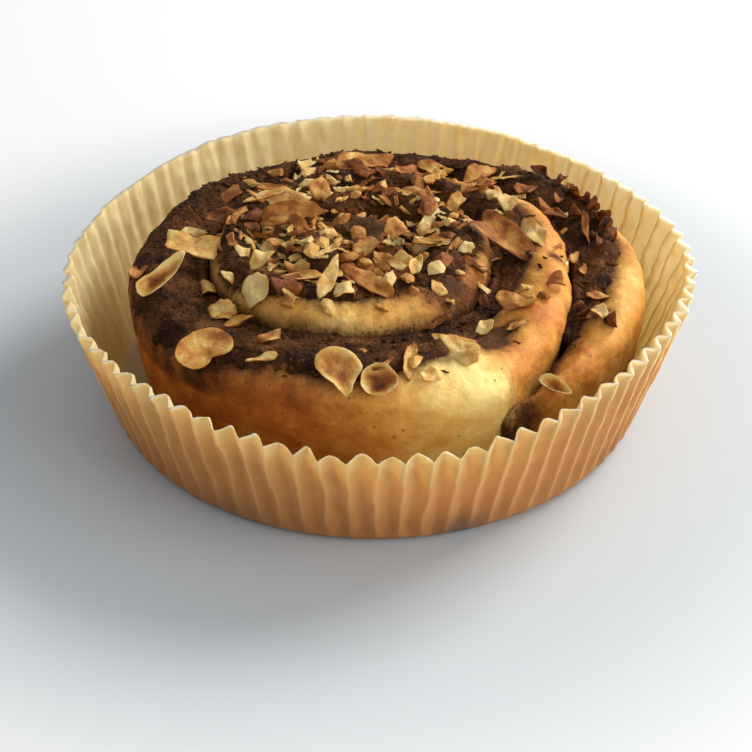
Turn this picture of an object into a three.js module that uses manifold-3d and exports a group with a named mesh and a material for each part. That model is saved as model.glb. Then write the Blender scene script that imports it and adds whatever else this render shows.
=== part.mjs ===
// A cinnamon swirl bun with sliced nuts on top, sitting in a pleated paper case.
// Millimetres, +Z up. The origin is the centre of the case's flat base, on the surface it stands on.
// -Y is the front, where the end of the rolled dough strip shows.
import * as THREE from 'three';
import { mergeVertices } from 'three/addons/utils/BufferGeometryUtils.js';
import Module from 'manifold-3d';

const wasm = await Module();
wasm.setup();

// ---- driving sizes -------------------------------------------------------------------------
const clearance = 0.3; // air between pieces that touch in the real thing
const leastVolume = 1e-7; // cubic millimetres, below which two solids don't meet

const paper = {
  baseRadius: 56.6, // where the pleated wall stands up from the flat base
  flatRadius: 53, // the unpleated middle of the base
  slant: 31, // length of the wall along its slope
  flare: 16.1, // mean lean of the wall, degrees from upright
  thickness: 0.8, // measured along the radius, so the steep pleats are half as thick
  floor: 0.5,
  pleats: 80,
  rimPleat: 2.6, // how deep a pleat is at the rim
  footPleat: 0.5, // the pleats all but fade out where the wall meets the base
  foldLift: 0.6, // an inner fold stands this much higher at the rim
};
// The soft wall leans out more in some places than in others.
const leanWaves = [
  { lobes: 1, degrees: 1.0, at: -31 },
  { lobes: 2, degrees: 1.2, at: 175 },
  { lobes: 3, degrees: 2.1, at: -40 },
  { lobes: 4, degrees: 2.7, at: 29 },
];

const bun = {
  halfWidth: 53.6,
  halfDepth: 48.4,
  centre: [2.2, -2],
  crown: 36.6, // height of the middle
  crownDrop: 6.4, // the outer turn is this much lower
  tailAngle: -62, // degrees, where the outer end of the strip is tucked in
  pitch: 16, // dough and filling together
  seamStart: 45.2,
  tailWedge: 4.8, // the strip thins to nothing over tailTurns
  tailTurns: 0.17,
  tailSink: 8, // the tip of the tail is lower
  turns: 2.6, // length of the seam
  bulge: 4.4, // how far the side swells past the foot
  crest: 0.4, // where the ridge of the strip is, as a share of its width
};
const seamCentre = { outer: [-1.2, -2.4], inner: [-5.2, 2.6] };

const filling = {
  web: 1.6, // thickness between two turns
  coat: 1.5, // thickness on top
  start: 0.085, // turns from the tail
};
// How much of the strip's width the filling covers, at a number of turns from the tail.
const spread = [
  [0, 0.2],
  [0.1, 0.3],
  [0.14, 0.34],
  [0.19, 0.62],
  [0.26, 0.92],
  [0.8, 0.95],
  [0.84, 0.84],
  [0.92, 0.74],
  [0.955, 0.55],
  [0.985, 0.4],
  [1.03, 0.28],
  [1.08, 0.2],
  [1.14, 0.36],
  [1.19, 0.6],
  [1.3, 0.5],
  [1.42, 0.8],
  [1.75, 0.85],
  [1.84, 0.62],
  [2.0, 0.62],
  [2.15, 0.85],
  [2.6, 0.7],
];

const stationsPerTurn = 42;
const gold = 0xc9863c;
const darkBrown = 0x3b2418;
const paperColour = 0xc79a63;

// ---- small helpers -------------------------------------------------------------------------
const { sin, cos, min, max, hypot, sqrt, PI } = Math;
const radians = (degrees) => (degrees * PI) / 180;
const mix = (a, b, share) => a + (b - a) * share;
const clamp = (value, low, high) => min(high, max(low, value));
const smooth = (low, high, value) => {
  const share = clamp((value - low) / (high - low), 0, 1);
  return share * share * (3 - 2 * share);
};

// Reads a table of [value, result] pairs, with straight lines between them.
function lookUp(table, value) {
  const next = table.findIndex(([at]) => at > value);
  if (next < 1) return next === 0 ? table[0][1] : table[table.length - 1][1];
  const [[a, low], [b, high]] = [table[next - 1], table[next]];
  return mix(low, high, (value - a) / (b - a));
}

// A repeatable stream of numbers from 0 to 1.
function seeded(seed) {
  let state = seed;
  return () => {
    state = (state * 16807) % 2147483647;
    return state / 2147483647;
  };
}

function geometryFrom(points, faces) {
  const geometry = new THREE.BufferGeometry();
  geometry.setAttribute('position', new THREE.Float32BufferAttribute(points.flat(), 3));
  geometry.setIndex(faces.flat());
  return geometry;
}

function signedVolume(points, faces) {
  return faces.reduce((sum, [a, b, c]) => {
    const [p, q, r] = [points[a], points[b], points[c]];
    const crossX = q[1] * r[2] - q[2] * r[1];
    const crossY = q[2] * r[0] - q[0] * r[2];
    const crossZ = q[0] * r[1] - q[1] * r[0];
    return sum + (p[0] * crossX + p[1] * crossY + p[2] * crossZ) / 6;
  }, 0);
}

// Turns the faces round if they point inwards.
function outward(points, faces) {
  const turned = signedVolume(points, faces) < 0 ? faces.map(([a, b, c]) => [a, c, b]) : faces;
  return geometryFrom(points, turned);
}

// A solid through equal closed sections, with flat ends. Each section holds {flat: [d, z], at: [x, y, z]}.
function loft(sections) {
  const count = sections[0].length;
  const points = sections.flat().map((corner) => corner.at);
  const faces = [];
  for (let i = 0; i + 1 < sections.length; i += 1) {
    for (let j = 0; j < count; j += 1) {
      const [a, b] = [i * count + j, i * count + ((j + 1) % count)];
      faces.push([a, b, b + count], [a, b + count, a + count]);
    }
  }
  for (const [first, flip] of [[0, true], [(sections.length - 1) * count, false]]) {
    const section = sections[first / count];
    const outline = section.map((corner) => new THREE.Vector2(...corner.flat));
    for (const [a, b, c] of THREE.ShapeUtils.triangulateShape(outline, [])) {
      const turnedRound = flip !== THREE.ShapeUtils.isClockWise(outline);
      faces.push(turnedRound ? [first + a, first + c, first + b] : [first + a, first + b, first + c]);
    }
  }
  return outward(points, faces);
}

// A closed solid of rings stacked between two poles.
function ringSolid(bottomPole, rings, topPole) {
  const count = rings[0].length;
  const points = [bottomPole, ...rings.flat(), topPole];
  const last = points.length - 1;
  const faces = [];
  for (let j = 0; j < count; j += 1) {
    const next = (j + 1) % count;
    faces.push([0, 1 + next, 1 + j]);
    for (let i = 0; i + 1 < rings.length; i += 1) {
      const [a, b] = [1 + i * count + j, 1 + i * count + next];
      faces.push([a, b, b + count], [a, b + count, a + count]);
    }
    faces.push([last, last - count + j, last - count + next]);
  }
  return outward(points, faces);
}

function toSolid(geometry) {
  const bare = geometry.clone();
  bare.deleteAttribute('normal');
  bare.deleteAttribute('uv');
  const merged = mergeVertices(bare, 1e-4);
  return new wasm.Manifold(
    new wasm.Mesh({
      numProp: 3,
      vertProperties: new Float32Array(merged.attributes.position.array),
      triVerts: new Uint32Array(merged.index.array),
    }),
  );
}

function largestPart(solid) {
  return solid.decompose().reduce((best, part) => (part.volume() > best.volume() ? part : best));
}

function toGeometry(solid) {
  const mesh = solid.getMesh();
  const geometry = new THREE.BufferGeometry();
  geometry.setAttribute('position', new THREE.BufferAttribute(new Float32Array(mesh.vertProperties), 3));
  geometry.setIndex(new THREE.BufferAttribute(new Uint32Array(mesh.triVerts), 1));
  return geometry;
}

function mesh(name, geometry, colour, roughness) {
  const shown = geometry.toNonIndexed();
  shown.computeVertexNormals();
  const material = new THREE.MeshStandardMaterial({ color: colour, roughness, metalness: 0 });
  const made = new THREE.Mesh(shown, material);
  made.name = name;
  return made;
}

// ---- paper case ----------------------------------------------------------------------------
function lean(angle) {
  const sway = leanWaves.reduce(
    (sum, wave) => sum + wave.degrees * cos(wave.lobes * angle - radians(wave.at)),
    0,
  );
  return radians(paper.flare + sway);
}

// One ring of the case: up is 0 at the foot and 1 at the rim, and inset moves it towards the axis.
function caseRing(up, inset, height) {
  const pointsPerPleat = 3;
  const count = paper.pleats * pointsPerPleat;
  const depth = mix(paper.footPleat, paper.rimPleat, up);
  return Array.from({ length: count }, (_, i) => {
    const angle = (i / count) * 2 * PI;
    const inner = i % pointsPerPleat === 0 ? 0 : 1; // one sharp outer fold, then the rounded inner fold
    const slope = lean(angle);
    const radius = paper.baseRadius + up * paper.slant * sin(slope) - inner * depth - inset;
    const z = height + up * (paper.slant * cos(slope) - height) + up * inner * paper.foldLift;
    return [radius * cos(angle), radius * sin(angle), z];
  });
}

function flatRing(height) {
  return caseRing(0, 0, height).map(([x, y]) => {
    const share = paper.flatRadius / hypot(x, y);
    return [x * share, y * share, height];
  });
}

function paperCase() {
  const footHeight = 1.2;
  const rings = [
    flatRing(0),
    caseRing(0, 0, footHeight),
    caseRing(1, 0, footHeight),
    caseRing(1, paper.thickness, footHeight),
    caseRing(0, paper.thickness, footHeight + paper.floor / 2),
    flatRing(paper.floor),
  ];
  return ringSolid([0, 0, 0], rings, [0, 0, paper.floor]);
}

// ---- plan of the swirl ---------------------------------------------------------------------
const angleAt = (turn) => radians(bun.tailAngle + 360 * turn);

// The line between two turns of dough, measured in turns from the tail.
function seam(turn) {
  const drift = smooth(0.6, bun.turns, turn);
  const wedge = bun.tailWedge * clamp(1 - turn / bun.tailTurns, 0, 1) ** 2;
  const radius = bun.seamStart - bun.pitch * turn + wedge;
  const angle = angleAt(turn);
  return [
    mix(seamCentre.outer[0], seamCentre.inner[0], drift) + radius * cos(angle),
    mix(seamCentre.outer[1], seamCentre.inner[1], drift) + radius * sin(angle),
  ];
}

function bunOutline(turn) {
  const angle = angleAt(turn);
  return [bun.centre[0] + bun.halfWidth * cos(angle), bun.centre[1] + bun.halfDepth * sin(angle)];
}

// The outer side of the strip: the bun's own side for one turn, and then the seam of the turn before.
function outerSide(turn) {
  const inside = smooth(0.93, 1.05, turn);
  const [outline, before] = [bunOutline(turn), seam(turn - 1)];
  return [mix(outline[0], before[0], inside), mix(outline[1], before[1], inside)];
}

// Height of the ridge of the dough above a point of the plan.
function ridgeHeight(x, y, turn) {
  const share = hypot(x - bun.centre[0], y - bun.centre[1]) / bun.halfDepth;
  const tail = bun.tailSink * clamp(1 - turn / 0.12, 0, 1) ** 2;
  const wave = 0.7 * sin(3.1 * angleAt(turn)) + 0.4 * cos(7 * angleAt(turn) + 1);
  return bun.crown - bun.crownDrop * share * share - tail + wave * share;
}

// What one cross-section of the strip needs: its two sides, width and heights.
function station(turn) {
  const [outer, inner] = [outerSide(turn), seam(min(turn, bun.turns + 1))];
  const width = hypot(inner[0] - outer[0], inner[1] - outer[1]);
  const inwards = [(inner[0] - outer[0]) / width, (inner[1] - outer[1]) / width];
  const onOutside = 1 - smooth(0.95, 1.08, turn);
  const ridge = ridgeHeight(outer[0] + inwards[0] * width * 0.3, outer[1] + inwards[1] * width * 0.3, turn);
  const halfSeam = filling.web / 2 + clearance;
  return {
    outer,
    inwards,
    ridge,
    onOutside,
    from: halfSeam * (1 - onOutside),
    to: max(width - halfSeam, 0.9),
    shoulder: ridge - mix(5.2, 4.6, onOutside), // where the side turns into the top
    trough: ridge - mix(4.2, 2.6, onOutside),
  };
}

const place = (s, d, z) => ({
  flat: [d, z],
  at: [s.outer[0] + s.inwards[0] * d, s.outer[1] + s.inwards[1] * d, z],
});

// Top of the dough, at a distance d in from the strip's outer side.
function doughTop(s, d) {
  const crest = mix(s.from, s.to, bun.crest);
  if (d < crest) {
    const share = clamp((crest - d) / (crest - s.from), 0, 1);
    return mix(s.shoulder, s.ridge, sqrt(max(1 - share * share, 0)));
  }
  const share = clamp((d - crest) / (s.to - crest), 0, 1);
  return mix(s.ridge, s.trough, share * share * (2 - share));
}

// Distances in from the outer side at which the dough's top has its corners, innermost first.
function topCorners(s) {
  const crest = mix(s.from, s.to, bun.crest);
  const inner = [1, 0.62, 0.3].map((share) => mix(crest, s.to, share));
  return [...inner, ...[1, 0.62, 0.3, 0.08].map((share) => mix(s.from, crest, share))];
}

// Dough and filling have their sections at the same turns, so that their faces run side by side.
function turnsBetween(first, last) {
  return Array.from({ length: last - first + 1 }, (_, i) => (first + i) / stationsPerTurn);
}

// ---- dough ---------------------------------------------------------------------------------
const bunFloor = paper.floor + clearance;

function doughSection(turn) {
  const s = station(turn);
  const undercut = bun.bulge * s.onOutside * clamp((s.to - s.from) / 8, 0, 1);
  return [
    place(s, s.to, bunFloor),
    place(s, s.from + undercut, bunFloor),
    place(s, s.from + undercut * 0.3, mix(bunFloor, s.shoulder, 0.3)),
    place(s, s.from, s.shoulder),
    ...topCorners(s).reverse().map((d) => place(s, d, doughTop(s, d))),
  ];
}

// The heart of the swirl, inside the last turn of the seam.
function heart() {
  const middle = seamCentre.inner;
  const count = 28;
  const edge = Array.from({ length: count }, (_, i) => {
    const [x, y] = seam(bun.turns - 1 + (i + 0.5) / count);
    const reach = hypot(x - middle[0], y - middle[1]);
    const share = max(reach - filling.web / 2 - clearance, 1.2) / reach;
    return [middle[0] + (x - middle[0]) * share, middle[1] + (y - middle[1]) * share];
  });
  const ring = (share, z) =>
    edge.map(([x, y]) => [mix(middle[0], x, share), mix(middle[1], y, share), z]);
  const top = bun.crown;
  const rings = [ring(1, bunFloor), ring(1, top - 5.5), ring(0.92, top - 2.6), ring(0.7, top - 0.8)];
  return ringSolid([...middle, bunFloor], rings, [...middle, top - 3.4]);
}

function doughSolid() {
  const last = Math.ceil(bun.turns * stationsPerTurn) + 1;
  return toSolid(loft(turnsBetween(0, last).map(doughSection))).add(toSolid(heart()));
}

// ---- filling -------------------------------------------------------------------------------
// It stands between two turns and spreads over the outer one. A section starts at the foot.
function fillingSection(turn) {
  const s = station(turn);
  const start = smooth(filling.start, filling.start + 0.06, turn);
  const ripple = 1 + 0.04 * sin(turn * 31) + 0.04 * sin(turn * 57 + 2);
  const reach = (s.to - s.from) * clamp(lookUp(spread, turn) * ripple * mix(0.4, 1, start), 0.12, 0.95);
  const [outerFace, innerFace] = [s.to + clearance, s.to + clearance + filling.web];
  const coat = (d, thickness) => place(s, d, doughTop(s, d) + clearance + thickness);
  const corners = topCorners(s);
  // Corners beyond the reach are drawn back to it, a little apart.
  const under = corners.map((d, i) => max(d, s.to - reach + 0.12 * (corners.length - 1 - i)));
  const bump = (i) => 1 + 0.3 * sin(turn * (41 + 13 * i) + i * 2);
  return [
    place(s, outerFace, bunFloor),
    place(s, outerFace, s.trough + clearance),
    ...under.map((d) => coat(d, 0)),
    coat(s.to - reach - 0.2, filling.coat * 0.4),
    ...[0.93, 0.66, 0.3].map((share, i) => coat(s.to - share * reach, filling.coat * bump(i))),
    place(s, innerFace, s.trough + clearance + filling.coat * 1.5),
    place(s, innerFace, bunFloor),
  ];
}

function fillingSolid() {
  const first = Math.ceil(filling.start * stationsPerTurn);
  const last = Math.floor((bun.turns - 0.05) * stationsPerTurn);
  return toSolid(loft(turnsBetween(first, last).map(fillingSection)));
}

// ---- nuts, fused to what they lie on -------------------------------------------------------
// Sliced nuts. at: place in plan. long, wide: size. turn: bearing of the long side, degrees.
// tip: how far the back of the slice is raised. roll: sideways tilt. curl: bend about the long side.
const slices = [
  { at: [-31.2, -35.6], long: 11.5, wide: 9.5, turn: 25, tip: 22, roll: 0, curl: 0.25 },
  { at: [-6.9, -46], long: 10.5, wide: 9, turn: -10, tip: 30, roll: 4, curl: 0.35 },
  { at: [1.2, -48], long: 6.4, wide: 6.2, turn: 0, tip: 34, roll: 0, curl: 0.5 },
  { at: [7, -41.5], long: 9, wide: 4.4, turn: 75, tip: 34, roll: 24, curl: 0.6 },
  { at: [16.7, -41.5], long: 10, wide: 8, turn: -28, tip: 22, roll: -8, curl: 0.1 },
  { at: [34, -40], long: 7.5, wide: 4.6, turn: -28, tip: 26, roll: 0, curl: 0.7 },
  { at: [44.5, -22], long: 6, wide: 4.4, turn: -48, tip: 24, roll: 8, curl: 0.1 },
  { at: [26, -3], long: 17.5, wide: 8.6, turn: -38, tip: 22, roll: 6, curl: 0.2 },
  { at: [-43.6, -14.5], long: 13, wide: 6.5, turn: 42, tip: 22, roll: -10, curl: 0.8 },
  { at: [-38, -1.5], long: 9.5, wide: 8, turn: -8, tip: 16, roll: 8, curl: 0.35 },
  { at: [-2, 32.2], long: 14, wide: 7.6, turn: 12, tip: 12, roll: 3, curl: 0.3 },
  { at: [13.2, 37], long: 8.5, wide: 6, turn: -20, tip: 12, roll: -8, curl: 0.3 },
  { at: [22.5, 30.5], long: 10.5, wide: 7, turn: 24, tip: 16, roll: 8, curl: 0.45 },
  { at: [9.6, 21], long: 12, wide: 7, turn: -14, tip: 14, roll: -6, curl: 0.35 },
  { at: [-18.5, 17], long: 13, wide: 6, turn: 18, tip: 18, roll: 10, curl: 0.4 },
  { at: [-31.9, 10.5], long: 10.5, wide: 6, turn: 36, tip: 20, roll: -6, curl: 0.3 },
  { at: [-17.4, 6.9], long: 14, wide: 5.5, turn: 16, tip: 20, roll: 4, curl: 0.4 },
  { at: [2.5, -18], long: 16, wide: 5, turn: -36, tip: 26, roll: -6, curl: 0.35 },
  { at: [-9, -18], long: 10, wide: 4, turn: 68, tip: 30, roll: 16, curl: 0.3 },
  { at: [-24, -18.5], long: 8, wide: 6, turn: 80, tip: 30, roll: 0, curl: 0.15 },
  { at: [-22.5, -6], long: 7, wide: 5.4, turn: 70, tip: 20, roll: 8, curl: 0.2 },
  { at: [-15, -11], long: 8, wide: 5.5, turn: -25, tip: 22, roll: -6, curl: 0.3 },
  { at: [27, 15.5], long: 8, wide: 6, turn: -40, tip: 14, roll: 8, curl: 0.5 },
  { at: [27.6, -23.5], long: 7, wide: 4.5, turn: -20, tip: 14, roll: 0, curl: 0.3 },
];
const slice = { thickness: 1.1, sides: 9, narrowing: 0.22, cup: 0.03 };
const sunk = 0.8; // depth to which a nut is set in what it lies on
// The foot that carries a slice over a hollow. It looks for a place with this much room round it.
const foot = { half: 1.2, room: 1.8, offCentre: 0.25, bite: 0.6, leastTall: 0.8 };
// Chopped nuts: how many, within which radius of a middle, their smallest and largest half-length, how far
// they keep from each other, and how much of the half-length they stand above the surface.
const chopped = {
  most: 42,
  spread: 36,
  middle: [-5.2, 1],
  least: 1.3,
  largest: 2.4,
  apart: 0.4,
  lift: 0.2,
  seed: 417,
};

// A curled slice with a slightly uneven edge.
function sliceGeometry(plan, index) {
  const { sides, thickness } = slice;
  const random = seeded(31 + index * 97);
  const uneven = Array.from({ length: sides }, () => mix(0.86, 1.1, random()));
  const [halfLong, halfWide] = [plan.long / 2, plan.wide / 2];
  const ring = (share, z) =>
    uneven.map((edge, i) => {
      const angle = (i / sides) * 2 * PI;
      const x = halfLong * share * edge * cos(angle);
      const y = halfWide * share * edge * sin(angle);
      const bend = plan.curl * halfWide * (y / halfWide) ** 2 + slice.cup * plan.long * (x / halfLong) ** 2;
      return [x, y * (1 - slice.narrowing * plan.curl), z + bend];
    });
  const rings = [ring(0.55, 0), ring(1, 0.1), ring(1, thickness - 0.1), ring(0.55, thickness)];
  const geometry = ringSolid([0, 0, 0], rings, [0, 0, thickness]);
  geometry.rotateY(radians(plan.roll));
  geometry.rotateZ(radians(plan.turn));
  geometry.rotateX(radians(plan.tip));
  return geometry;
}

function pebble(size, random) {
  const shape = new THREE.IcosahedronGeometry(1, 0);
  const [long, wide, tall] = [mix(0.8, 1.25, random()), mix(0.6, 0.9, random()), mix(0.38, 0.6, random())];
  shape.scale(size * long, size * wide, size * tall);
  shape.rotateZ(random() * 2 * PI);
  shape.rotateX(mix(-0.5, 0.5, random()));
  return shape;
}

// Which solid lies under a place in plan, and how high its top is there.
function surfaceFinder(solids) {
  const caster = new THREE.Raycaster();
  const down = new THREE.Vector3(0, 0, -1);
  const targets = solids.map((solid, i) => mesh(`target${i}`, toGeometry(solid), gold, 1));
  return (x, y) => {
    caster.set(new THREE.Vector3(x, y, 100), down);
    const hit = caster.intersectObjects(targets)[0];
    return hit ? { host: targets.indexOf(hit.object), z: hit.point.z } : null;
  };
}

const compass = [0, 1, 2, 3, 4, 5, 6, 7].map((k) => [cos((k * PI) / 4), sin((k * PI) / 4)]);

// Height at which a piece rests with its lowest points on the surface below it.
function restingHeight(geometry, [x, y], find) {
  const corners = geometry.attributes.position;
  let height = 0;
  for (let i = 0; i < corners.count; i += 1) {
    const below = find(x + corners.getX(i), y + corners.getY(i));
    if (below) height = max(height, below.z - corners.getZ(i));
  }
  return height;
}

// Adds a slice to one of the solids, on a small foot where it spans a hollow.
function addSlice(solids, plan, index, find) {
  const geometry = sliceGeometry(plan, index);
  const [x, y] = plan.at;
  const { host, z } = find(x, y);
  const other = solids[1 - host];
  let height = restingHeight(geometry, plan.at, find) - sunk;
  geometry.translate(x, y, 0);
  const shape = toSolid(geometry);
  const meets = (a, b) => a.intersect(b).volume() > leastVolume;
  while (meets(shape.translate([0, 0, height - clearance * 1.2]), other)) height += clearance;
  const grown = solids.slice();
  grown[host] = grown[host].add(shape.translate([0, 0, height]));
  if (height < z - clearance) return grown;
  const footUnder = ([u, v], wide) => {
    const shapeUnder = new THREE.OctahedronGeometry(1, 0);
    const offset = plan.wide * foot.offCentre;
    shapeUnder.scale(wide, wide, max(height - z + foot.bite, foot.leastTall));
    return toSolid(shapeUnder.translate(x + u * offset, y + v * offset, z));
  };
  const footPlace = [[0, 0], ...compass].find((spot) => !meets(footUnder(spot, foot.room), other));
  if (footPlace) grown[host] = grown[host].add(footUnder(footPlace, foot.half));
  return grown;
}

// Scatters chopped nuts, each wholly on one of the solids.
function addChopped(solids, find) {
  const random = seeded(chopped.seed);
  const taken = slices.map(({ at, long, wide }) => [...at, (long + wide) / 4]);
  const grown = solids.slice();
  let placed = 0;
  for (let i = 0; i < chopped.most * 9 && placed < chopped.most; i += 1) {
    const [angle, away] = [random() * 2 * PI, chopped.spread * sqrt(random())];
    const size = mix(chopped.least, chopped.largest, random() ** 2);
    const shape = pebble(size, random);
    const [x, y] = [chopped.middle[0] + away * cos(angle), chopped.middle[1] + away * sin(angle)];
    if (taken.some(([u, v, r]) => hypot(u - x, v - y) < r + size + chopped.apart)) continue;
    const reach = size * 1.3 + 0.7;
    const around = [[0, 0], ...compass].map(([u, v]) => find(x + reach * u, y + reach * v));
    if (around.some((below) => !below || below.host !== around[0].host)) continue;
    shape.translate(x, y, around[0].z + size * chopped.lift);
    const { host } = around[0];
    grown[host] = grown[host].add(toSolid(shape));
    taken.push([x, y, size]);
    placed += 1;
  }
  return grown;
}

// ---- the whole -----------------------------------------------------------------------------
const bare = [doughSolid(), fillingSolid()];
const find = surfaceFinder(bare);
const sliced = slices.reduce((solids, plan, index) => addSlice(solids, plan, index, find), bare);
const [dough, sweetFilling] = addChopped(sliced, find).map(largestPart);

const model = new THREE.Group();
model.add(mesh('paper_case', paperCase(), paperColour, 0.85));
model.add(mesh('dough_swirl', toGeometry(dough), gold, 0.6));
model.add(mesh('cinnamon_filling', toGeometry(sweetFilling), darkBrown, 0.55));

export default model;
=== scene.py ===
import math
import random

import bmesh
import bpy
import numpy as np
from mathutils import Euler, Matrix, Vector, noise
from mathutils.bvhtree import BVHTree


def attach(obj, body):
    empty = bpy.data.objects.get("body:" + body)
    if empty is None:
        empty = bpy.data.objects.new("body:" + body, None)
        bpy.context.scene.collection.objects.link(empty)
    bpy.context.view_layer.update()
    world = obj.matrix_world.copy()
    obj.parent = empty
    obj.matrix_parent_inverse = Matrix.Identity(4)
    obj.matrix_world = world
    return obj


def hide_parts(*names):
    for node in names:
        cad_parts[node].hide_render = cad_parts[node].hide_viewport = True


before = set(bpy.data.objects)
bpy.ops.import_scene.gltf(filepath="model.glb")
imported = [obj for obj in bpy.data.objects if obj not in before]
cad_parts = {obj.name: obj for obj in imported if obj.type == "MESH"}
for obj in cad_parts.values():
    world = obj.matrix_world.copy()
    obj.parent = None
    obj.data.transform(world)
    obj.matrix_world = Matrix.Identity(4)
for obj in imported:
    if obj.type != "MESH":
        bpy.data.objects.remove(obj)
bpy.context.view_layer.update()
mm = 0.001  # sizes below are in millimetres, apart from the lights and the floor
tau = 2 * math.pi


# Small helpers


def mix(a, b, share):
    return a + (b - a) * share


def clamp(value, low=0.0, high=1.0):
    return max(low, min(high, value))


def smooth(low, high, value):
    share = clamp((value - low) / (high - low))
    return share * share * (3 - 2 * share)


def spotsAt(spots, x, y):  # spots of x, y, radius and strength, each fading outwards
    return sum(by * math.exp(-(((x - u) ** 2 + (y - v) ** 2) / r / r)) for u, v, r, by in spots)


def lookUp(table, value):  # table holds [value, result] pairs, with straight lines between them
    return float(np.interp(value, [row[0] for row in table], [row[1] for row in table]))


def grain(x, y, z, size, seed=0.0, octaves=3):  # fractal noise from about -1 to 1, lumps of about size mm
    return noise.fractal(Vector((x / size + seed, y / size - seed, z / size)), 0.9, 2.1, octaves)


def meshPiece(name, points, faces):  # points in mm
    mesh = bpy.data.meshes.new(name)
    mesh.from_pydata([[value * mm for value in point] for point in points], [], faces)
    mesh.validate()
    mesh.shade_smooth()
    piece = bpy.data.objects.new(name, mesh)
    bpy.context.scene.collection.objects.link(piece)
    return piece


def setAttribute(piece, name, values):
    made = piece.data.attributes.new(name, "FLOAT", "POINT")
    made.data.foreach_set("value", np.asarray(values, np.float32))


def turnOutward(piece):  # joins doubled points, so that seams and poles are closed
    shell = bmesh.new()
    shell.from_mesh(piece.data)
    bmesh.ops.remove_doubles(shell, verts=shell.verts, dist=1e-6)
    bmesh.ops.recalc_face_normals(shell, faces=shell.faces)
    if shell.calc_volume(signed=True) < 0:
        bmesh.ops.reverse_faces(shell, faces=shell.faces)
    shell.to_mesh(piece.data)
    shell.free()


def clods(x, y, z, size):  # rounded lumps of about size mm, from about -0.5 to 0.5
    return 0.5 - noise.voronoi(Vector((x, y, z)) / size)[0][0]


def placeOnFrame(piece, material, slot, *nodes):
    piece.data.materials.clear()
    piece.data.materials.append(material)
    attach(piece, "root")
    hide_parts(*nodes)
    print(piece.name, len(piece.data.vertices), "points")


# Node trees written as expressions


def addNode(tree, kind, settings=None, values=None, output=0):
    made = tree.nodes.new(kind)
    for name, value in (settings or {}).items():
        if name == "stops":
            ramp = made.color_ramp
            while len(ramp.elements) < len(value):
                ramp.elements.new(0.5)
            for element, (place, colour) in zip(ramp.elements, value):
                element.position = place
                element.color = (*colour, 1)
        else:
            setattr(made, name, value)
    for name, value in (values or {}).items():
        if isinstance(name, str):
            socket = next(s for s in made.inputs if s.enabled and s.name == name)
        else:
            socket = made.inputs[name]
        if isinstance(value, Wire):
            tree.links.new(value.socket, socket)
        elif isinstance(value, (tuple, list)) and len(value) == 3 and len(socket.default_value) == 4:
            socket.default_value = (*value, 1)
        else:
            socket.default_value = value
    if isinstance(output, str):
        return Wire(tree, next(s for s in made.outputs if s.enabled and s.name == output))
    return Wire(tree, made.outputs[output])


class Wire:  # a socket that can stand in an expression
    def __init__(self, tree, socket):
        self.tree = tree
        self.socket = socket

    def maths(self, operation, *values):
        return addNode(self.tree, "ShaderNodeMath", {"operation": operation}, dict(enumerate(values)))

    def __add__(self, other):
        return self.maths("ADD", self, other)

    def __radd__(self, other):
        return self.maths("ADD", other, self)

    def __sub__(self, other):
        return self.maths("SUBTRACT", self, other)

    def __rsub__(self, other):
        return self.maths("SUBTRACT", other, self)

    def __mul__(self, other):
        return self.maths("MULTIPLY", self, other)

    def __rmul__(self, other):
        return self.maths("MULTIPLY", other, self)

    def __truediv__(self, other):
        return self.maths("DIVIDE", self, other)

    def __pow__(self, other):
        return self.maths("POWER", self, other)

    def sine(self):
        return self.maths("SINE", self)

    def cosine(self):
        return self.maths("COSINE", self)

    def least(self, other):
        return self.maths("MINIMUM", self, other)

    def most(self, other):
        return self.maths("MAXIMUM", self, other)

    def above(self, other):
        return self.maths("GREATER_THAN", self, other)

    def between(self, low, high):  # 0 below low, 1 above high, smooth on the way
        return addNode(
            self.tree,
            "ShaderNodeMapRange",
            {"interpolation_type": "SMOOTHSTEP"},
            {"Value": self, "From Min": low, "From Max": high, "To Min": 0.0, "To Max": 1.0},
        )


class Recipe:  # a material on one principled shader
    def __init__(self, name, **constants):
        self.material = bpy.data.materials.new(name)
        self.material.use_nodes = True
        self.tree = self.material.node_tree
        self.shader = self.tree.nodes["Principled BSDF"]
        for socket, value in constants.items():
            self.shader.inputs[socket.replace("_", " ")].default_value = value
        self.place = self.node("ShaderNodeTexCoord", output="Object")

    def node(self, kind, settings=None, values=None, output=0):
        return addNode(self.tree, kind, settings, values, output)

    def attribute(self, name):
        return self.node("ShaderNodeAttribute", {"attribute_name": name}, output="Fac")

    def noise(self, size, detail=3.0, roughness=0.55, stretch=(1, 1, 1)):  # size in mm
        place = self.node("ShaderNodeMapping", None, {"Vector": self.place, "Scale": stretch})
        values = {"Vector": place, "Scale": 1000 / size, "Detail": detail, "Roughness": roughness}
        return self.node("ShaderNodeTexNoise", None, values, "Fac")

    def cells(self, size):  # size in mm
        values = {"Vector": self.place, "Scale": 1000 / size}
        return self.node("ShaderNodeTexVoronoi", None, values, "Distance")

    def blend(self, factor, a, b):
        return self.node("ShaderNodeMix", {"data_type": "RGBA"}, {"Factor": factor, "A": a, "B": b}, "Result")

    def ramp(self, factor, *stops):
        return self.node("ShaderNodeValToRGB", {"stops": stops}, {"Fac": factor}, "Color")

    def finish(self, colour, roughness=None, height=None, depth=0.0):  # depth of the bump in mm
        self.tree.links.new(colour.socket, self.shader.inputs["Base Color"])
        if roughness is not None:
            self.tree.links.new(roughness.socket, self.shader.inputs["Roughness"])
        if height is not None:
            values = {"Height": height, "Distance": depth * mm, "Strength": 1.0}
            bump = self.node("ShaderNodeBump", None, values)
            self.tree.links.new(bump.socket, self.shader.inputs["Normal"])
        return self.material


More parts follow.
